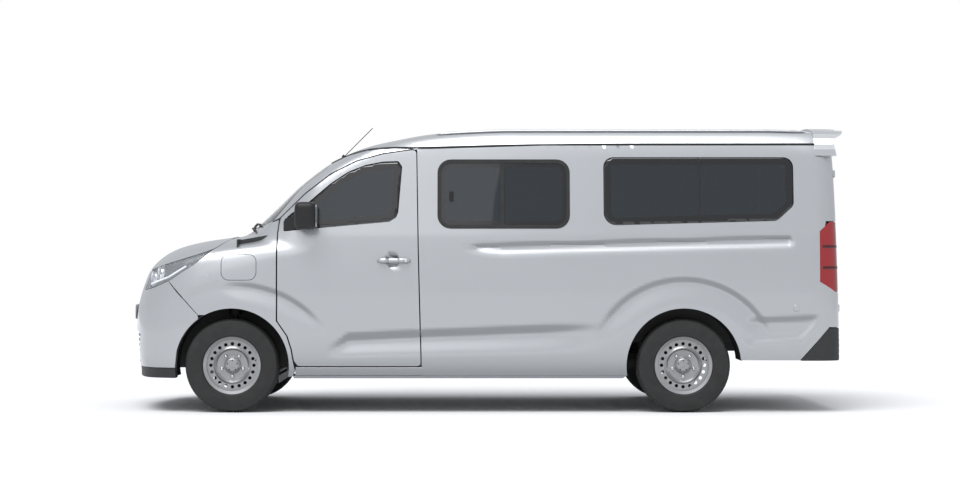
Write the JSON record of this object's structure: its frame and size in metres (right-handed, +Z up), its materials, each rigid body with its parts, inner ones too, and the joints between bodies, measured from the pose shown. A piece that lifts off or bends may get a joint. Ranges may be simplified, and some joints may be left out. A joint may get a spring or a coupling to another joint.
{
  "type": "battery-electric minibus",
  "caption": "Nine-seat battery-electric minibus with hinged cab doors, bonnet, twin rear doors and charging flap, steered front wheels and rolling road wheels",
  "frame": {"origin": "on the ground, midway between the bumpers and between the sides", "axes": "+X to the rear, +Y to the vehicle's right, +Z up"},
  "size_m": [5.2, 2.2384, 2.0774],
  "materials": {
    "paint": "metallic gloss",
    "black_plastic": "grained",
    "grey_plastic": "grained",
    "lamp_clear": "clear",
    "lamp_red": "clear",
    "glass": "dark tint",
    "screen_glass": "light tint",
    "cabin_plastic": "grained",
    "frame_steel": "satin",
    "seat_fabric": "woven",
    "floor_steel": "satin",
    "pack_aluminium": "satin",
    "cast_metal": "cast",
    "chassis_steel": "satin",
    "wheel_steel": "satin",
    "tyre": "moulded"
  },
  "bodies": {
    "root": {"floor_pan": "floor_steel", "bulkhead": "floor_steel", "chassis_rails": "chassis_steel", "rear_wheel_housings": "floor_steel", "roof_panel": "paint", "left_side_panel": "paint", "right_side_panel": "paint", "sliding_door": "paint", "left_front_wing": "paint", "right_front_wing": "paint", "cowl": "black_plastic", "front_bumper": "paint", "bumper_grille": "black_plastic", "rear_bumper": "grey_plastic", "roof_spoiler": "paint", "headlights": "lamp_clear", "tail_lights": "lamp_red", "windscreen": "screen_glass", "side_glass": "glass", "charging_inlet": "black_plastic", "dashboard": "cabin_plastic", "seat_frames": "frame_steel", "seat_cushions": "seat_fabric", "battery_pack": "pack_aluminium", "drive_unit": "cast_metal", "front_subframe": "chassis_steel", "rear_axle": "chassis_steel", "antenna": "black_plastic"},
    "left_front_door": {"left_front_door": "paint", "left_front_door_glass": "glass", "left_mirror": "black_plastic"},
    "right_front_door": {"right_front_door": "paint", "right_front_door_glass": "glass", "right_mirror": "black_plastic"},
    "left_rear_door": {"left_rear_door": "paint", "left_rear_door_glass": "glass"},
    "right_rear_door": {"right_rear_door": "paint", "right_rear_door_glass": "glass"},
    "bonnet": {"bonnet": "paint"},
    "charge_flap": {"charge_flap": "paint"},
    "steering_wheel": {"steering_wheel": "cabin_plastic"},
    "left_knuckle": {"left_knuckle": "chassis_steel"},
    "right_knuckle": {"right_knuckle": "chassis_steel"},
    "front_left_wheel": {"front_left_rim": "wheel_steel", "front_left_tyre": "tyre"},
    "front_right_wheel": {"front_right_rim": "wheel_steel", "front_right_tyre": "tyre"},
    "rear_left_wheel": {"rear_left_rim": "wheel_steel", "rear_left_tyre": "tyre"},
    "rear_right_wheel": {"rear_right_rim": "wheel_steel", "rear_right_tyre": "tyre"}
  },
  "joints": [
    {"name": "left_front_door_hinge", "type": "hinge", "parent": "root", "child": "left_front_door", "pos_m": [-1.412, -0.918, 0.825], "axis": [0, 0, -1], "range_deg": [0, 70]},
    {"name": "right_front_door_hinge", "type": "hinge", "parent": "root", "child": "right_front_door", "pos_m": [-1.412, 0.918, 0.825], "axis": [0, 0, 1], "range_deg": [0, 70]},
    {"name": "left_rear_door_hinge", "type": "hinge", "parent": "root", "child": "left_rear_door", "pos_m": [2.55599, -0.801, 0.60038], "axis": [0.0317, 0, -0.9995], "range_deg": [0, 180]},
    {"name": "right_rear_door_hinge", "type": "hinge", "parent": "root", "child": "right_rear_door", "pos_m": [2.55599, 0.801, 0.60038], "axis": [-0.0317, 0, 0.9995], "range_deg": [0, 180]},
    {"name": "bonnet_hinge", "type": "hinge", "parent": "root", "child": "bonnet", "pos_m": [-1.844, 0, 1.249], "axis": [0, 1, 0], "range_deg": [0, 55]},
    {"name": "charge_flap_hinge", "type": "hinge", "parent": "root", "child": "charge_flap", "pos_m": [-1.9, -0.92519, 1.03242], "axis": [0, -0.0468, -0.9989], "range_deg": [0, 100]},
    {"name": "steering_wheel_turn", "type": "hinge", "parent": "root", "child": "steering_wheel", "pos_m": [-1.16, -0.44, 1.13], "axis": [0.8192, 0, 0.5736], "range_deg": [-525, 525]},
    {"name": "steer_left", "type": "hinge", "parent": "root", "child": "left_knuckle", "pos_m": [-1.8, -0.713, 0.334], "axis": [0, 0.1736, 0.9848], "range_deg": [-35, 35]},
    {"name": "steer_right", "type": "hinge", "parent": "root", "child": "right_knuckle", "pos_m": [-1.8, 0.713, 0.334], "axis": [0, -0.1736, 0.9848], "range_deg": [-35, 35]},
    {"name": "front_left_wheel_spin", "type": "hinge", "parent": "left_knuckle", "child": "front_left_wheel", "pos_m": [-1.8, -0.81, 0.334], "axis": [0, 1, 0], "continuous": true},
    {"name": "front_right_wheel_spin", "type": "hinge", "parent": "right_knuckle", "child": "front_right_wheel", "pos_m": [-1.8, 0.81, 0.334], "axis": [0, 1, 0], "continuous": true},
    {"name": "rear_left_wheel_spin", "type": "hinge", "parent": "root", "child": "rear_left_wheel", "pos_m": [1.41, -0.81, 0.334], "axis": [0, 1, 0], "continuous": true},
    {"name": "rear_right_wheel_spin", "type": "hinge", "parent": "root", "child": "rear_right_wheel", "pos_m": [1.41, 0.81, 0.334], "axis": [0, 1, 0], "continuous": true}
  ],
  "couplings": [
    {"joint": "steer_left", "follows": "steering_wheel_turn", "ratio": 0.066666},
    {"joint": "steer_right", "follows": "steering_wheel_turn", "ratio": 0.066666}
  ]
}
